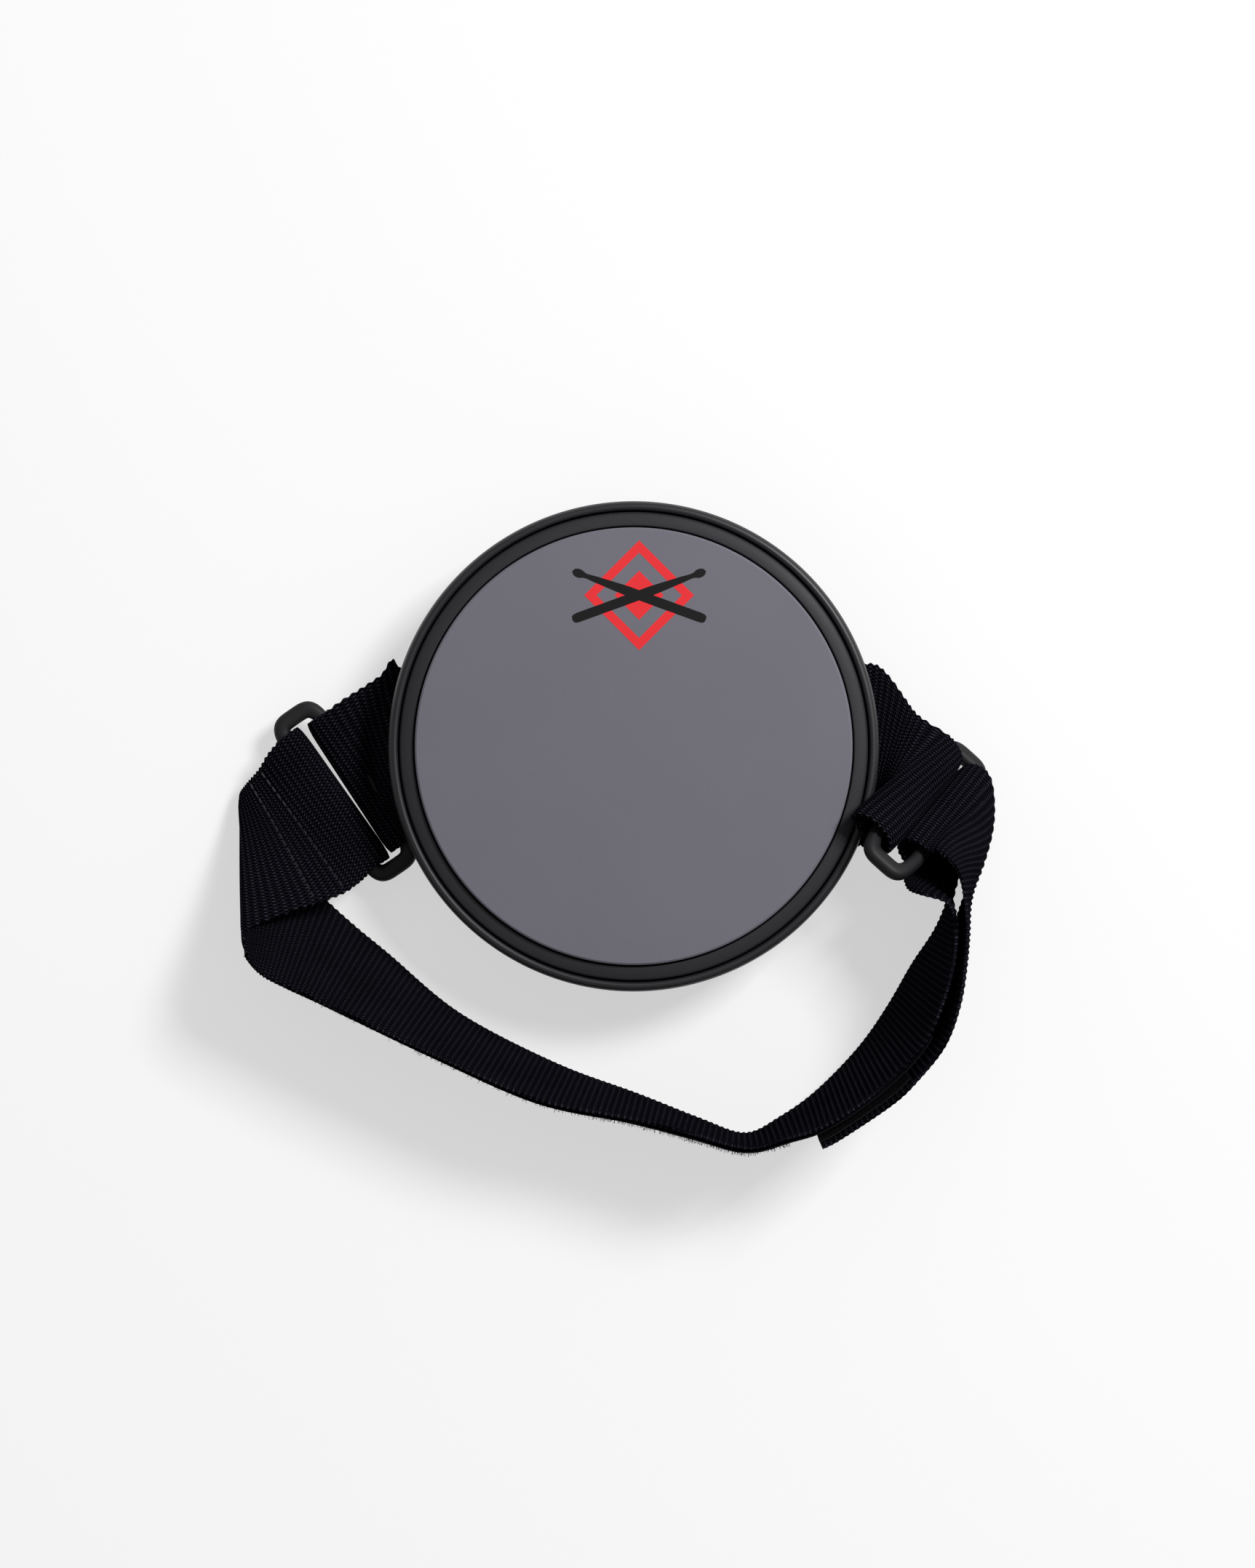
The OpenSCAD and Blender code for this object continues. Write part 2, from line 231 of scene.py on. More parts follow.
# ---- Rubber under-pad ----
# A thick moulded ring and floor of black rubber that holds the playing disc in a recess. Its
# rim is slightly crowned and stands just inside the tray's lip.
black_rubber = grained("black moulded rubber", (0.021, 0.0205, 0.0245), 0.55, 0.0005, 0.00004,
                       Specular_IOR_Level=0.25)
piece("rubber_rim", [lathe(rounded([(0, 22.0), (72.75, 22.0), (72.75, 31.0), (70.6, 31.75), (68.35, 31.9),
                                    (68.1, 28.45), (0, 28.45)], [0.5, 0.9, 1.5, 0.35, 0.3]))], black_rubber,
      "root", ["under_pad"])

# ---- Playing disc ----
# The slate-grey gum rubber disc that the sticks strike: dead flat, with a fine matt grain and
# a narrow bevel round its top edge. It is glued into the black rubber.
slate = grained("slate rubber", (0.152, 0.146, 0.176), 0.6, 0.00045, 0.00004, blotch=0.05, rough_swing=0.05,
                Specular_IOR_Level=0.2)
piece("playing_surface", [lathe(rounded([(0, 28.55), (67.75, 28.55), (67.75, 33.5), (67.15, 34.0), (0, 34.0)],
                                        [0.3, 0.18, 0.12]), 320)], slate,
      "root", ["playing_disc"])

# ---- Printed mark ----
# A plain generic print on the disc: two crossed drumsticks over a diamond outline, in black and
# red ink a few hundredths of a millimetre thick.
MARK = np.array([1.7, 46.7])
INK_LOW, INK_HIGH = 33.99, 34.04


def print_band(outer, inner, low, high):
    """A flat ring between two outlines with the same number of points, given a thickness."""
    n = len(outer)
    ring = np.vstack([np.column_stack([edge, np.full(n, z)])
                      for edge, z in ((outer, low), (outer, high), (inner, high), (inner, low))])
    return (ring + [*MARK, 0]) * MM, skin(4, n, wrap_rows=True, wrap_cols=True)


def print_stick(angle, low, high):
    """A drumstick 44 mm long: half-width follows the butt, the long taper, the neck and the tip."""
    s = np.array([-22, -21.8, -21.2, -20, 4, 14, 17.2, 18.2, 19.2, 20.4, 21.4, 22.0])
    w = np.array([0.02, 0.9, 1.35, 1.5, 1.5, 1.0, 0.72, 0.85, 1.3, 1.35, 0.95, 0.02])
    c, d = np.cos(angle), np.sin(angle)
    z = np.array([low, high, high, low])
    side = np.array([1, 1, -1, -1])
    x = s[:, None] + 0 * side
    y = w[:, None] * side
    grid = np.stack([x * c - y * d, x * d + y * c, np.broadcast_to(z, x.shape)], -1)
    return (grid.reshape(-1, 3) + [*MARK, 0]) * MM, skin(len(s), 4, wrap_cols=True)


diamond = np.array([[0, 1], [0.5, 0.5], [1, 0], [0.5, -0.5], [0, -1], [-0.5, -0.5], [-1, 0], [-0.5, 0.5]])
red_ink = grained("red ink", (0.78, 0.035, 0.042), 0.5, 0.0004, 0.00002, blotch=0.06, rough_swing=0.04,
                  Specular_IOR_Level=0.1)
black_ink = grained("black ink", (0.008, 0.008, 0.008), 0.5, 0.0004, 0.00002, blotch=0.2, rough_swing=0.04,
                    Specular_IOR_Level=0.15)
piece("mark_red", [print_band(diamond * 17.0, diamond * 13.2, INK_LOW, INK_HIGH),
                   print_band(diamond * 7.6, diamond * 0.01, INK_LOW, INK_HIGH)],
      red_ink, "root")
piece("mark_black", [print_stick(np.radians(20), INK_LOW, INK_HIGH + 0.02),
                     print_stick(np.radians(160), INK_LOW, INK_HIGH + 0.04)],
      black_ink, "root")

# ---- Cover plate, clamps and screws ----
# A flat ABS plate closes the base from below. Two bars between plate and tray keep the webbing
# in line, and four plated pan-head screws hold it all together.
ribs = [lathe(rounded([(r - 0.8, 10.6), (r - 0.5, 10.05), (r + 0.5, 10.05), (r + 0.8, 10.6),
                       (r - 0.8, 10.6)], 0.2)) for r in (15.0, 24.0)]
plate = lathe(rounded([(0, 10.5), (57.8, 10.5), (59.0, 11.3), (59.0, 13.1), (0, 13.1)],
                      [0.5, 0.5, 0.4]))
piece("cover_plate_shell", [plate] + ribs, tray_plastic, "root", ["cover_plate"])
for name in ("front_web_clamp", "rear_web_clamp"):
    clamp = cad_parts[name]
    clamp.data.materials.clear()
    clamp.data.materials.append(tray_plastic)
zinc = grained("zinc-plated steel", (0.46, 0.47, 0.49), 0.34, 0.0008, 0.00002, Metallic=1.0)
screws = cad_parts["cover_screws"]
screws.data.materials.clear()
screws.data.materials.append(zinc)

# ---- Grip pads ----
# Two blocks of dense non-slip foam glued under the plate. Their undersides are scooped to sit
# on the thigh, and narrow grooves across them give grip.
grip_foam = grained("non-slip foam", (0.034, 0.034, 0.037), 0.92, 0.0009, 0.00025)
THIGH_RADIUS, THIGH_AXIS = 120.0, -112.5


def grip_block(side):
    """Top and underside of one pad over the same (across, along) grid; the underside is the
    thigh's circle, held above the floor, with cosine grooves across it."""
    v = np.linspace(-1, 1, 161)
    u = np.concatenate([[-1, -0.97], np.linspace(-0.93, 0.93, 25), [0.97, 1]])
    y = 39.9 * np.sign(v) * np.abs(v) ** 0.98
    reach = np.sqrt(np.maximum(58.0 ** 2 - y ** 2, 0))
    inner, outer = np.full_like(y, 26.2), np.minimum(reach, 55.8)
    x = inner[:, None] + (outer - inner)[:, None] * (u[None, :] + 1) / 2
    yy = np.broadcast_to(y[:, None], x.shape)
    floor_z = THIGH_AXIS + np.sqrt(THIGH_RADIUS ** 2 - np.minimum(x, 119.0) ** 2)
    inset = np.clip((1 - np.abs(u)) / 0.07, 0, 1)[None, :] * np.clip((1 - np.abs(v)) / 0.03, 0, 1)[:, None]
    edge = 1.2 * (1 - np.sqrt(1 - (1 - inset) ** 2))
    groove = 0.45 * np.clip(np.cos(2 * np.pi * yy / 6.0) * 6 - 5, 0, 1) * np.clip(inset, 0, 1)
    low = np.maximum(floor_z, 0) + edge + groove
    low = np.minimum(low, 9.6)
    bottom = np.stack([side * x, yy, low], -1)
    top = np.stack([side * x, yy, np.full_like(x, 10.49)], -1)
    loop = np.concatenate([bottom, top[:, ::-1]], 1)
    rows, cols = loop.shape[:2]
    n = len(u)
    caps = []
    for row in (0, rows - 1):
        k = np.arange(n - 1)
        caps.append(np.column_stack([row * cols + k, row * cols + k + 1,
                                     row * cols + cols - 2 - k, row * cols + cols - 1 - k]))
    return loop.reshape(-1, 3) * MM, np.vstack([skin(rows, cols, wrap_cols=True)] + caps)


for side, name in ((-1, "left"), (1, "right")):
    block = piece(f"{name}_grip_block", [grip_block(side)], grip_foam, "root",
                  [f"{name}_grip_pad"], sharp=60)

# ---- Base webbing ----
# The middle of the 50 mm black polypropylene webbing lies flat between plate and tray, and
# fans out a little at both sides before it leaves as the two tabs.
RIB = 1.9           # pitch of the cross ribs along the webbing, mm
STITCH_PITCH = 1.15  # pitch of the float stitches across it, mm


def woven(name, colour):
    """Webbing: rows of float stitches across the cloth at half the rib's pitch, each row shifted
    half a stitch, as height and as colour, with painted highlight on the stitch tops and rib crests and
    painted shade between them; fine fibre noise over both."""
    material, nodes, links, shader = finish_of(name, colour, 1.0, Specular_IOR_Level=0.0)
    cloth = nodes.new("ShaderNodeAttribute")
    cloth.attribute_name = "weave"
    split = nodes.new("ShaderNodeSeparateXYZ")
    links.new(cloth.outputs["Vector"], split.inputs[0])

    def calc(kind, a, b=None):
        """One Math node; a and b are sockets or numbers."""
        node = nodes.new("ShaderNodeMath")
        node.operation = kind
        for k, value in enumerate((a, b)):
            if isinstance(value, (int, float)):
                node.inputs[k].default_value = value
            elif value is not None:
                links.new(value, node.inputs[k])
        return node.outputs[0]

    def noise(scale, detail):
        """Noise over the cloth's own place."""
        node = nodes.new("ShaderNodeTexNoise")
        node.inputs["Scale"].default_value = scale
        node.inputs["Detail"].default_value = detail
        links.new(cloth.outputs["Vector"], node.inputs["Vector"])
        return node.outputs["Fac"]

    shift = calc("MULTIPLY", calc("SUBTRACT", noise(260, 2), 0.5), 0.0009)
    along = calc("MULTIPLY", calc("ADD", split.outputs["X"], shift), 2 * np.pi / (RIB * MM))
    across = calc("MULTIPLY", calc("ADD", split.outputs["Y"], shift), 2 * np.pi / (STITCH_PITCH * MM))
    fibre = noise(5200, 3)
    rib = calc("COSINE", calc("MULTIPLY", split.outputs["X"], 2 * np.pi / (RIB * MM)))
    rib = calc("ADD", calc("MULTIPLY", rib, 0.5), 0.5)
    knots = calc("MULTIPLY", calc("COSINE", along), calc("COSINE", across))
    knots = calc("ADD", calc("MULTIPLY", knots, 0.5), 0.5)
    height = calc("ADD", knots, calc("MULTIPLY", fibre, 0.35))
    bump = nodes.new("ShaderNodeBump")
    bump.inputs["Strength"].default_value = 1.0
    bump.inputs["Distance"].default_value = 0.0004
    links.new(height, bump.inputs["Height"])
    links.new(bump.outputs["Normal"], shader.inputs["Normal"])
    # Painted highlight and shade: the stitch tops and rib crests are painted light and the hollows between
    # them dark, in place of the weave's sheen; fibre noise and patches vary the tone at random.
    light = calc("POWER", knots, 2.6)
    light = calc("MULTIPLY", light, calc("ADD", calc("MULTIPLY", rib, 0.75), 0.25))
    light = calc("MULTIPLY", light, calc("ADD", fibre, 0.4))
    patch = calc("ADD", calc("MULTIPLY", noise(45, 3), 0.9), 0.55)
    yarn_and_highlight = nodes.new("ShaderNodeMix")
    yarn_and_highlight.data_type = "RGBA"
    yarn_and_highlight.inputs["A"].default_value = (*[c * 0.16 for c in colour], 1)
    yarn_and_highlight.inputs["B"].default_value = (*[c * 6.5 for c in colour], 1)
    links.new(calc("MULTIPLY", light, patch), yarn_and_highlight.inputs["Factor"])
    links.new(yarn_and_highlight.outputs["Result"], shader.inputs["Base Color"])
    return material


webbing = woven("black webbing", (0.0066, 0.0061, 0.0090))


def resample(rulings, step=0.32, soften=1.1, along=None):
    """Rulings at even steps of the middle line's length, then rounded off by a bell-shaped
    running mean; both ends are carried on in a straight line first, so they stay put."""
    q = np.asarray(rulings, float)
    middle = (q[:, :3] + q[:, 3:]) / 2
    s = np.concatenate([[0], np.cumsum(np.linalg.norm(np.diff(middle, axis=0), axis=1))])
    n = max(4, int(round(s[-1] / step)) + 1)
    u = np.linspace(0, s[-1], n)
    even = np.stack([np.interp(u, s, q[:, k]) for k in range(6)], 1)
    h = u[1] - u[0]
    reach = int(np.ceil(3 * soften / h))
    if reach and n > 2 * reach:
        front = 2 * even[0] - even[1:reach + 1][::-1]
        back = 2 * even[-1] - even[-reach - 1:-1][::-1]
        long = np.vstack([front, even, back])
        bell = np.exp(-0.5 * (np.arange(-reach, reach + 1) * h / soften) ** 2)
        bell /= bell.sum()
        even = np.stack([np.convolve(long[:, k], bell, "valid") for k in range(6)], 1)
    return even, u


def ribbon(even, u, low=-1.0, high=1.0, margin=0.0, columns=15, ribs=0.24, scallop=0.3,
           bow=0.0, shape=None):
    """A band of cloth between offsets low and high (mm) from the ruled surface, margin (a share of
    the width) in from each edge. Its section is a flat loop with rounded edges; ribs lift both
    faces and scallop pushes the edges out and in with the same cosine; bow arches the section by
    a parabola, and shape moves the surface's points first. Returns points, quads and weave."""
    t = np.concatenate([[0, 0.012, 0.035], np.linspace(0.08, 0.92, columns), [0.965, 0.988, 1]])
    wave = np.cos(2 * np.pi * u / RIB)[:, None]
    lo, hi = even[:, None, :3], even[:, None, 3:]
    width = np.linalg.norm(hi - lo, axis=-1)
    f = margin + (1 - 2 * margin) * t[None, :]
    f = f + (2 * t - 1)[None, :] ** 15 * scallop * wave / width
    surface = lo + (hi - lo) * f[..., None]
    if shape is not None:
        surface = shape(surface)
    run = np.gradient(surface, axis=0)
    normal = np.cross(run, np.broadcast_to(hi - lo, surface.shape))
    normal /= np.linalg.norm(normal, axis=-1, keepdims=True)
    middle, half = (low + high) / 2, (high - low) / 2
    edge = np.abs(2 * t - 1) ** 14
    thin = half * (1 - 0.55 * edge)[None, :]
    lift = ribs * wave * (1 - edge)[None, :]
    sag = np.reshape(bow, (-1, 1)) * (1 - (2 * t - 1) ** 2)[None, :]
    front = surface + normal * (middle + sag + thin + lift)[..., None]
    rear = surface + normal * (middle + sag - thin - lift)[..., None]
    loop = np.concatenate([front, rear[:, ::-1]], 1)
    rows, cols = loop.shape[:2]
    n = len(t)
    k = np.arange(n - 1)
    caps = [np.column_stack([r * cols + k, r * cols + k + 1, r * cols + cols - 2 - k,
                             r * cols + cols - 1 - k]) for r in (0, rows - 1)]
    place = np.broadcast_to(u[:, None], (rows, n))
    sideways = f * width
    weave = np.stack([np.concatenate([place, place], 1), np.concatenate([sideways, sideways[:, ::-1]], 1),
                      np.concatenate([np.full((rows, n), 2.0), np.full((rows, n), -2.0)], 1)], -1)
    return (loop.reshape(-1, 3) * MM, np.vstack([skin(rows, cols, wrap_cols=True)] + caps),
            weave.reshape(-1, 3) * MM)


def band(name, even, u, material, slot, replaces=(), body=None, **shape):
    """A ribbon made into a piece."""
    points, quads, weave = ribbon(even, u, **shape)
    return piece(name, [(points, quads)], material, body, replaces, weave, sharp=60)


WEB_Z = 14.3
flat_middle = [[-64, -26, WEB_Z, -74, 25.0, WEB_Z], [-58, -25, WEB_Z, -58, 25, WEB_Z],
               [-30, -25, WEB_Z, -30, 25, WEB_Z], [0, -25, WEB_Z, 0, 25, WEB_Z],
               [30, -25, WEB_Z, 30, 25, WEB_Z], [58, -25, WEB_Z, 58, 25, WEB_Z],
               [66, -30, WEB_Z, 70, 25.8, WEB_Z]]
even, u = resample(flat_middle, step=0.48, soften=2.0)
base_band = band("base_band", even, u, webbing, "webbing", ["base_webbing"], "root", ribs=0.08)


# ---- Tabs ----
# The webbing leaves the base on both sides, folds over the near bar of its slide ring and is
# sewn back. It bunches between tray and ring, so the left tab has a long soft dent.
def catmull(route, k):
    """The rulings of a route on a Catmull-Rom curve; the first and last are only directions."""
    p = np.asarray(route, float)
    a, b, c, d = (x[:, None, :] for x in (p[:-3], p[1:-2], p[2:-1], p[3:]))
    t = (np.arange(k) / k)[None, :, None]
    made = 0.5 * (2 * b + (c - a) * t + (2 * a - 5 * b + 4 * c - d) * t ** 2
                  + (3 * b - a - 3 * c + d) * t ** 3)
    return np.vstack([made.reshape(-1, p.shape[1]), p[-2:-1]])


LEFT_RING = (np.array([-91, -14, 9.5]), -55.7, 0.0)
RIGHT_RING = (np.array([91.1, -19.7, 24.5]), 228.0, 41.0)
BAR_OFFSET, BAR_RADIUS = 7.7, 2.3  # from the ring's centre to a bar's middle, and the bar
TAB_FOLD, STRAP_FOLD = 3.8, 4.8    # radius of the webbing's middle round a bar, mm


def ring_axes(yaw, tilt):
    """Unit vectors along a ring's bars, across them, and square to its plane."""
    y, t = np.radians(yaw), np.radians(tilt)
    e = np.array([np.cos(y) * np.cos(t), np.sin(y) * np.cos(t), np.sin(t)])
    m = np.array([-np.sin(y), np.cos(y), 0.0])
    return e, m, np.cross(e, m)


def wrap(ring, side, radius, start, stop, lo, hi, lead=0.0, swell=(0.0, 0.0), n=24):
    """Rulings round one bar of a ring, from angle start to stop, reaching lo and hi along it. The
    upper edge may start further round by lead degrees, and then the webbing also starts higher.
    swell is how far the fold's two ends stand into the ring's slot, as the square of a cosine."""
    centre, yaw, tilt = ring
    e, m, k = ring_axes(yaw, tilt)
    left = np.linspace(1, 0, n + 1)[:, None]
    a = np.radians(start + (stop - start) * (1 - left))
    b, h = a + np.radians(lead) * left, radius + lead / 22 * left
    bar = centre + m * side * BAR_OFFSET
    g, h = h + swell[0] * np.cos(a) ** 2, h + swell[1] * np.cos(b) ** 2
    return np.hstack([bar + g * (m * np.cos(a) + k * np.sin(a)) + e * lo,
                      bar + h * (m * np.cos(b) + k * np.sin(b)) + e * hi])


left_tab_route = [[-67, -24.6, 14.3, -55, -24, 14.3], [-74, 25.0, 14.3, -64, -24.6, 14.3],
                  [-79.5, 22.3, 14.3, -67.5, -25, 14.3], [-85.5, 18.5, 14.3, -69, -26.5, 14.3],
                  [-91.5, 14.8, 14.2, -69.9, -28.2, 13.9], [-96.5, 11.2, 13.5, -70.4, -29.2, 13.4],
                  [-100, 8, 12, -73, -31, 12]]
left_tab_wrap = wrap(LEFT_RING, 1, TAB_FOLD, 90, 255, -24, 24, swell=(1.5, 2.5))


def creased(points):
    """The tab's surface pressed down in a long soft dent, and raised in a fold beside the tray."""
    x, y = points[..., 0], points[..., 1]
    dent = 4.2 * np.exp(-((x + 82.5 + 0.12 * (y + 4)) / 3.6) ** 2 - ((y + 4) / 14) ** 2)
    fold = 1.0 * np.exp(-((x + 76.6) / 1.3) ** 2 - ((y - 6) / 16) ** 4)
    return points + np.stack([0 * x, 0 * x, fold - dent], -1)


rulings = np.vstack([catmull(left_tab_route, 6), left_tab_wrap])
even, u = resample(rulings, step=0.32, soften=0.7)
left_band = band("left_tab_band", even, u, webbing, "webbing", ["left_tab"], columns=41, shape=creased)
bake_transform(left_band)

right_tab_route = [[60, 25, 14.3, 60, -25, 14.3], [70, 25.8, 14.3, 66, -30, 14.3],
                   [76, 26, 14.3, 70, -31, 14.3], [80.5, 22.1, 14.3, 73.5, -31.4, 14.3],
                   [85.5, 15.0, 14.3, 73.6, -31.2, 20], [88.6, 10.6, 14.6, 72.8, -29.8, 28],
                   [92.6, 7.4, 15.2, 71.3, -27.8, 35], [98, 3.6, 14, 69.6, -24, 42]]
right_tab_wrap = wrap(RIGHT_RING, -1, TAB_FOLD, 110, -75, -24, 24, 70, swell=(1.7, 2.1))
rulings = np.vstack([catmull(right_tab_route, 6), right_tab_wrap])
even, u = resample(rulings, step=0.32, soften=0.7)
right_band = band("right_tab_band", even, u, webbing, "webbing", ["right_tab"], columns=25)
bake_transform(right_band)

# ---- Slide rings ----
# Two oblong rings moulded in smooth black acetal: a round bar on each long side for the
# webbing to turn round, and a flatter rounded end that joins the bars.
ring_plastic = grained("smooth black acetal", (0.011, 0.011, 0.0125), 0.55, 0.0012,
                        0.00002, Specular_IOR_Level=0.25)


def slide_ring(centre, yaw, tilt):
    """A section swept round a rounded oblong: the centreline's corner radius is 6.5 mm, and the
    section is an ellipse 4.6 mm thick that widens from 4.6 to 5.4 mm across the ends."""
    a = np.linspace(0, 2 * np.pi, 128, endpoint=False)
    power = 0.42
    cx = 28.6 * np.sign(np.cos(a)) * np.abs(np.cos(a)) ** power
    cy = BAR_OFFSET * np.sign(np.sin(a)) * np.abs(np.sin(a)) ** power
    path = np.column_stack([cx, cy])
    step = np.roll(path, -1, 0) - np.roll(path, 1, 0)
    step /= np.linalg.norm(step, axis=1, keepdims=True)
    out = np.column_stack([step[:, 1], -step[:, 0]])
    b = np.linspace(0, 2 * np.pi, 28, endpoint=False)
    wide = BAR_RADIUS + 0.4 * np.clip((np.abs(cx) - 24.0) / 4.0, 0, 1)
    flat = 0.8
    sx = np.sign(np.cos(b)) * np.abs(np.cos(b)) ** flat
    sz = np.sign(np.sin(b)) * np.abs(np.sin(b)) ** flat
    local = np.stack([path[:, None, 0] + out[:, None, 0] * wide[:, None] * sx,
                      path[:, None, 1] + out[:, None, 1] * wide[:, None] * sx,
                      np.broadcast_to(BAR_RADIUS * sz, (len(a), len(b)))], -1)
    e, m, k = ring_axes(yaw, tilt)
    world = centre + local[..., :1] * e + local[..., 1:2] * m + local[..., 2:] * k
    return world.reshape(-1, 3) * MM, skin(len(a), len(b), wrap_rows=True, wrap_cols=True)


for side, ring in (("left", LEFT_RING), ("right", RIGHT_RING)):
    piece(f"{side}_slide_ring", [slide_ring(*ring)], ring_plastic, f"{side}_ring",
          [f"{side}_ring"], sharp=70)

# ---- Strap ----
# One length of the same webbing. It is sewn round the left ring's far bar, rolls over at the
# corner, runs round on edge, passes through the right ring and comes back outside itself.
corner_route = [[-108, 5, 15, -80, -37, 14.5], [-114.5, -1.5, 13, -86, -42, 16.2],
                [-118, -7, 10, -91, -46, 20], [-122.5, -12, 7, -104, -50.5, 30],
                [-124.5, -15.5, 4.2, -119, -56.5, 38], [-121.5, -19, 1.9, -119, -64, 41.5],
                [-110, -33, 1.4, -114.5, -70, 43], [-100, -46.5, 1.2, -106.5, -74, 44],
                [-89.5, -56.5, 1, -98, -77.5, 45], [-78, -66, 1, -87, -82.5, 46],
                [-55.5, -84.8, 1, -61.8, -94, 47.5]]
run_route = [[-89.5, -56.5, 1, -98, -77.5, 45], [-78, -66, 1, -87, -82.5, 46],
             [-55.5, -84.8, 1, -61.8, -94, 47.5], [-25, -100.7, 1, -29.5, -108, 48.5],
             [1, -110.5, 1, -1, -113.8, 49], [21, -118.5, 1, 18.7, -118.7, 50],
             [35.5, -123.3, 1, 34.4, -122.7, 50], [47, -117.8, 1, 47.2, -119.7, 50],
             [58.5, -109.4, 1, 59, -115.8, 50], [71.8, -95.6, 1, 75.2, -105, 49],
             [81.1, -82.3, 1, 88.7, -91.3, 48]]
rise_route = [[58.5, -109.4, 1, 59, -115.8, 50], [71.8, -95.6, 1, 75.2, -105, 49],
              [81.1, -82.3, 1, 88.7, -91.3, 48], [88.8, -69, 1, 96, -74, 48], [96.2, -58, 1, 98.5, -59, 49],
              [101, -47, 1, 96.5, -48.3, 50], [104.5, -36, 1.4, 88.5, -45.5, 47],
              [106.5, -25, 2, 84.5, -44, 38.5], [108, -15, 3.4, 83.5, -40, 34], [104, -8, 8, 82, -34, 34]]
over_route = [[110, -6.5, 11.4, 87, -31.5, 41], [112.4, -9.4, 11.4, 90.3, -32.6, 39.8],
              [114, -16.5, 6, 93, -32.2, 44.5], [113.8, -25.3, 2.2, 96, -34.5, 48],
              [110.5, -36.1, 1.2, 99, -38.5, 49.5], [106, -46, 1, 101, -45.5, 50],
              [102.4, -57, 1, 101.9, -56, 50], [99.5, -69, 1, 101.2, -67.5, 50],
              [95.5, -77, 1, 99.3, -79.5, 50], [89.3, -85.3, 1, 94.9, -91.5, 50],
              [81, -92.5, 1, 86.6, -102, 50], [75.5, -99.5, 1, 79, -109.3, 49.5]]
end_route = [[89.8, -85.5, 1, 94.9, -91.5, 50], [81, -92.5, 1, 86.6, -102, 50],
             [75.5, -99.5, 1, 79, -109.3, 49.5], [63, -112.7, 1, 63.5, -119.6, 50],
             [57.2, -117.6, 1, 57.5, -122.8, 50], [51, -122, 1, 51, -126, 50]]
left_part = np.vstack([wrap(LEFT_RING, -1, STRAP_FOLD, -80, 80, -25, 25, swell=(1.6, 2.4)),
                       catmull(corner_route, 6)])
run_part = catmull(run_route, 6)
rise_part = np.vstack([catmull(rise_route, 6),
                       wrap(RIGHT_RING, 1, STRAP_FOLD, 245, 95, -25.5, 17.5, swell=(1.7, 2.8))])
over_part = catmull(over_route, 6)
strap_rulings = np.vstack([left_part, run_part[1:], rise_part[1:], over_part])
strap_even, strap_u = resample(strap_rulings, step=0.34)
# The outer layer's section is bowed where it stands furthest right, eased in over 16 mm.
OUTER_LAYER, BOW = 130, -3.5
away = np.clip((strap_even[:, 0] + strap_even[:, 3] - 200) / 16, 0, 1) * (strap_u > strap_u[-1] - OUTER_LAYER)
strap = band("strap_band", strap_even, strap_u, webbing, "webbing",
             ["strap_left", "strap_run", "strap_right", "strap_over"], "leg_loop", columns=21,
             bow=BOW * away * away * (3 - 2 * away))

# ---- Stitching ----
# Two rows of black nylon thread, about 0.7 mm thick, hold the webbing's two layers together
# beside the left ring. Each row runs across the webbing.
def on_cloth(even, index, share, proud):
    """Points at a share of the width on some rulings, proud mm off the cloth's middle, and the
    cloth's unit directions there: along, across and square to it."""
    lo, hi, share = even[index, :3], even[index, 3:], np.asarray(share)[:, None]
    ahead = even[index + 1] - even[index - 1]
    across = hi - lo
    along = ahead[:, :3] * (1 - share) + ahead[:, 3:] * share
    along, across, square = (v / np.linalg.norm(v, axis=1, keepdims=True)
                             for v in (along, across, np.cross(along, across)))
    return lo + (hi - lo) * share + square * proud, along, across, square


def threads(path, radius, first, second):
    """Closed four-sided threads: path is (thread, station, xyz), and each has its section in the
    plane of its own first and second directions, with a radius at each station."""
    count, stations = path.shape[:2]
    turn = np.array([[1, 0], [0, 1], [-1, 0], [0, -1]])
    ring = first[:, None] * turn[:, :1] + second[:, None] * turn[:, 1:]
    points = path[:, :, None] + ring[:, None] * np.reshape(radius, (1, -1, 1, 1))
    last = 4 * (stations - 1)
    ends = [[0, 1, 2, 3], [last, last + 1, last + 2, last + 3]]
    faces = np.vstack([skin(stations, 4, wrap_cols=True), ends])
    return (points.reshape(-1, 3) * MM,
            (faces[None] + 4 * stations * np.arange(count)[:, None, None]).reshape(-1, 4))


def stitch_row(even, spot, count=16):
    """One row across the ruling whose middle lies nearest to spot, seen from above."""
    nearest = np.argmin(np.linalg.norm((even[:, :2] + even[:, 3:5]) / 2 - spot, axis=1))
    foot, along, across, square = on_cloth(even, np.full(count, nearest),
                                           np.linspace(0.06, 0.94, count), 1.25)
    reach, sink = np.array([-1.2, -0.8, 0.8, 1.2]), np.array([-0.35, 0, 0, -0.35])
    path = foot[:, None] + across[:, None] * reach[:, None] + square[:, None] * sink[:, None]
    return threads(path, [0.12, 0.36, 0.36, 0.12], along, square)


thread = grained("black nylon thread", (0.020, 0.019, 0.025), 0.6, 0.0003, 0.00005, Specular_IOR_Level=0.2)
piece("strap_stitching", [stitch_row(strap_even, spot) for spot in ((-104, -26), (-109.5, -31))],
      thread, "leg_loop")

# ---- Strap's hem ----
# The strap's sewn-back end lies under it beside the left ring, and two rows of stitching run
# through both layers.
hem_route = [[-106, 10, 6, -78, -32, 6], [-111.8, 1.6, 4.2, -83.6, -39.6, 4.2],
             [-117, -5.8, 5.6, -89.5, -44.8, 12.8], [-120.5, -9.8, 4.6, -96.5, -47.6, 21],
             [-123, -13, 3, -103, -50, 27]]
even, u = resample(catmull(hem_route, 10), step=0.32, soften=0.5)
hem = band("strap_hem_band", even, u, webbing, "webbing", ["strap_hem"], "leg_loop")

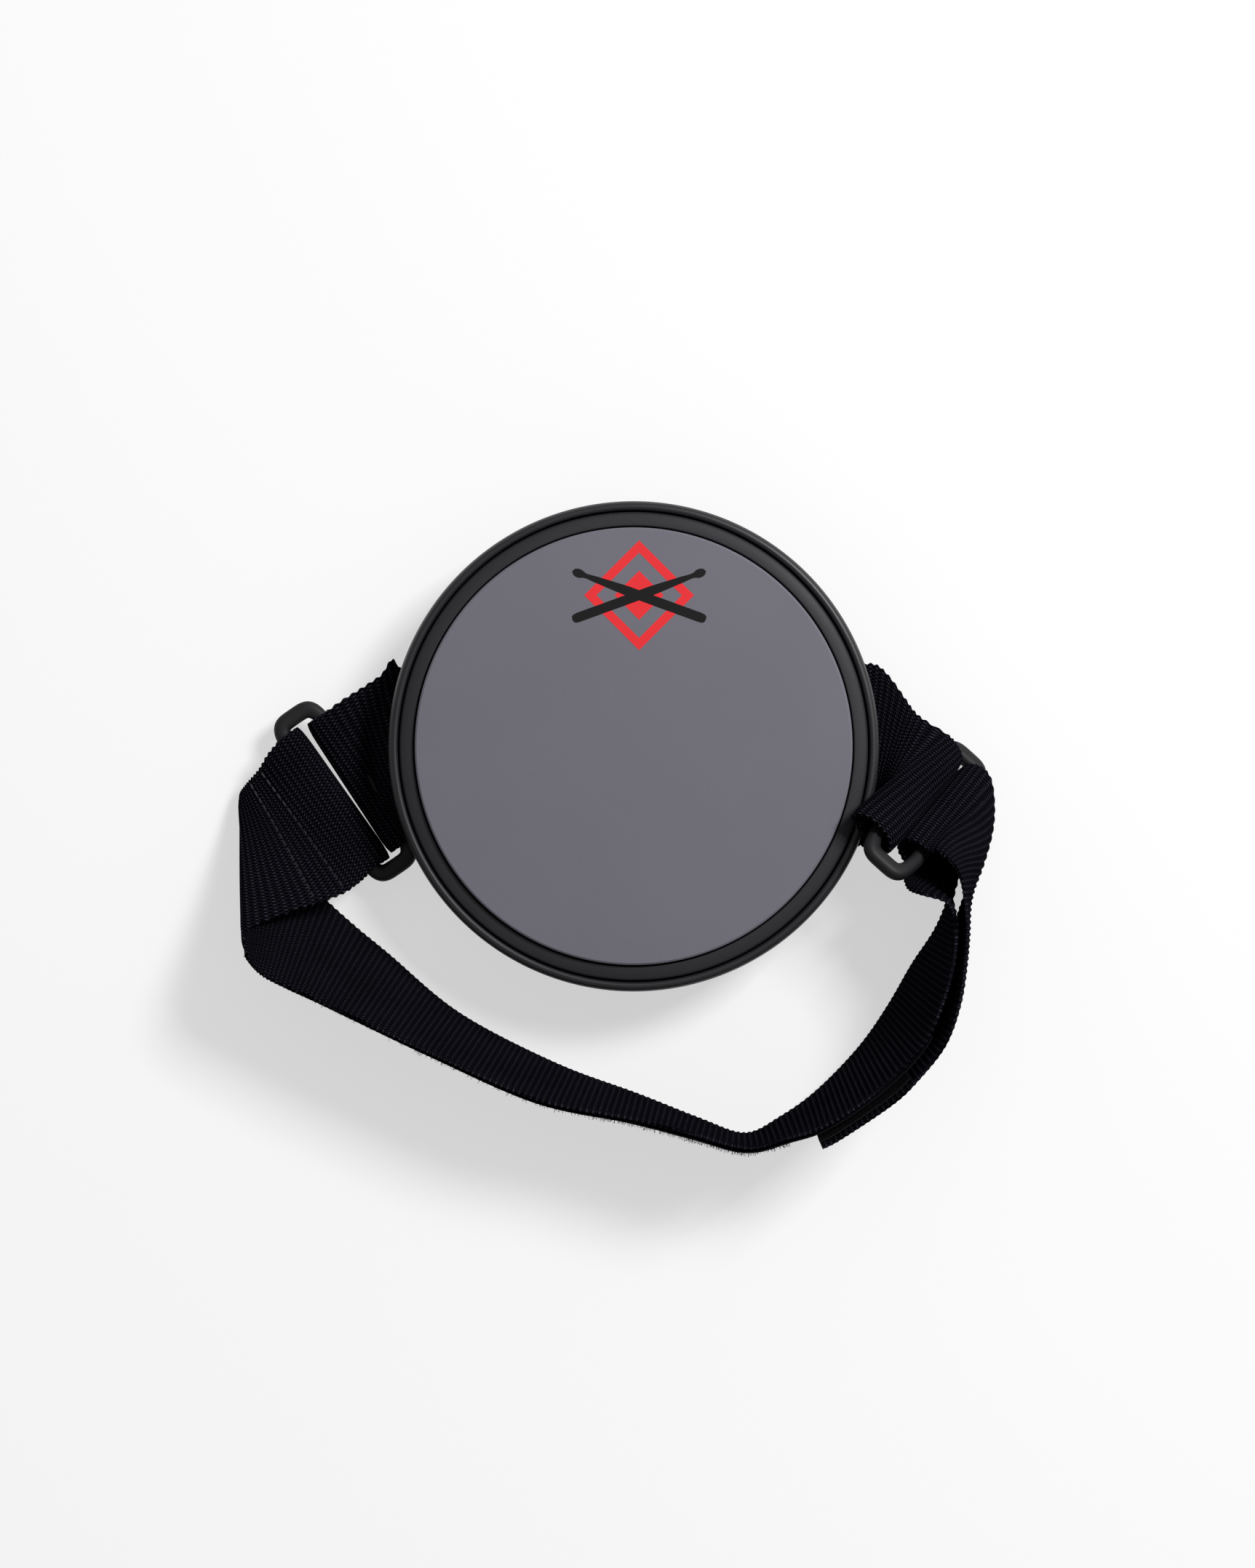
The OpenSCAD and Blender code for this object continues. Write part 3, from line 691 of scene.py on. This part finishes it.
# ---- Strap's free end ----
# The outer layer's last part, which is pressed onto the inner layer's loop tape and peels off
# round its fold.
end_rulings = catmull(end_route, 10)
even, u = resample(end_rulings, step=0.32, soften=0.8)
u = u + strap_u[-1]
free_end = band("strap_free_end", even, u, webbing, "webbing", ["strap_end"])
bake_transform(free_end)

# ---- Loop tape ----
# Soft black loop pile sewn to the strap's outer face, from the rolled corner to where the free
# end meets it. Separate fibres stand about a millimetre proud of it outside the closure.
fuzz = grained("loop pile", (0.0065, 0.006, 0.0085), 0.95, 0.0005, 0.0004, Specular_IOR_Level=0.05)
loop_rulings = np.vstack([left_part[50:], run_part[1:], rise_part[1:8]])
even, u = resample(loop_rulings, step=0.6)
loop_tape = band("loop_tape_backing", even, u, fuzz, "loop_tape", ["loop_tape"], "leg_loop",
                 low=1.3, high=2.1, margin=0.03, ribs=0.0, scallop=0.15)


def pile(even, index, proud, tall, lean, thick, rng):
    """Fibres that stand on the cloth at random places on the given rulings and lean over."""
    foot, along, across, square = on_cloth(even, index, rng.uniform(0.05, 0.95, len(index)), proud)
    tilt = along * rng.normal(0, lean, (len(index), 1)) + across * rng.normal(0, lean, (len(index), 1))
    rise = square * rng.uniform(0.6, 1.0, (len(index), 1)) * tall
    path = np.stack([foot, foot + rise * 0.7 + tilt * 0.4, foot + rise + tilt], 1)
    return threads(path, np.array([1.0, 0.9, 0.5]) * thick, along, across)


FIBRES, CLOSURE_X = 6500, 48.0
rng = np.random.default_rng(7)
open_part = np.flatnonzero(even[:, 0] < CLOSURE_X)[2:-2]
open_part = open_part[open_part < np.argmax(even[:, 0] >= CLOSURE_X)]
piece("loop_pile", [pile(even, rng.choice(open_part, FIBRES), 2.0, 1.3, 0.5, 0.07, rng)],
      fuzz, "leg_loop")

# ---- Hook tape ----
# A strip of moulded hooks sewn to the inner face of the free end. Short straight pegs stand for
# the hooks.
hooks = grained("hook tape", (0.005, 0.005, 0.006), 0.6, 0.0008, 0.0003, Specular_IOR_Level=0.15)
even, u = resample(end_rulings, step=0.6, soften=0.8)
hook_tape = band("hook_tape_backing", even[2:], u[2:], hooks, "hook_tape", ["hook_tape"],
                 low=1.3, high=1.9, margin=0.03, ribs=0.0, scallop=0.0)
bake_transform(hook_tape)
HOOKS = 420
rng = np.random.default_rng(8)
hook_rows = rng.integers(4, len(even) - 3, HOOKS)
hook_field = piece("hook_field", [pile(even, hook_rows, 1.85, 0.5, 0.08, 0.12, rng)], hooks, None)
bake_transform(hook_field)
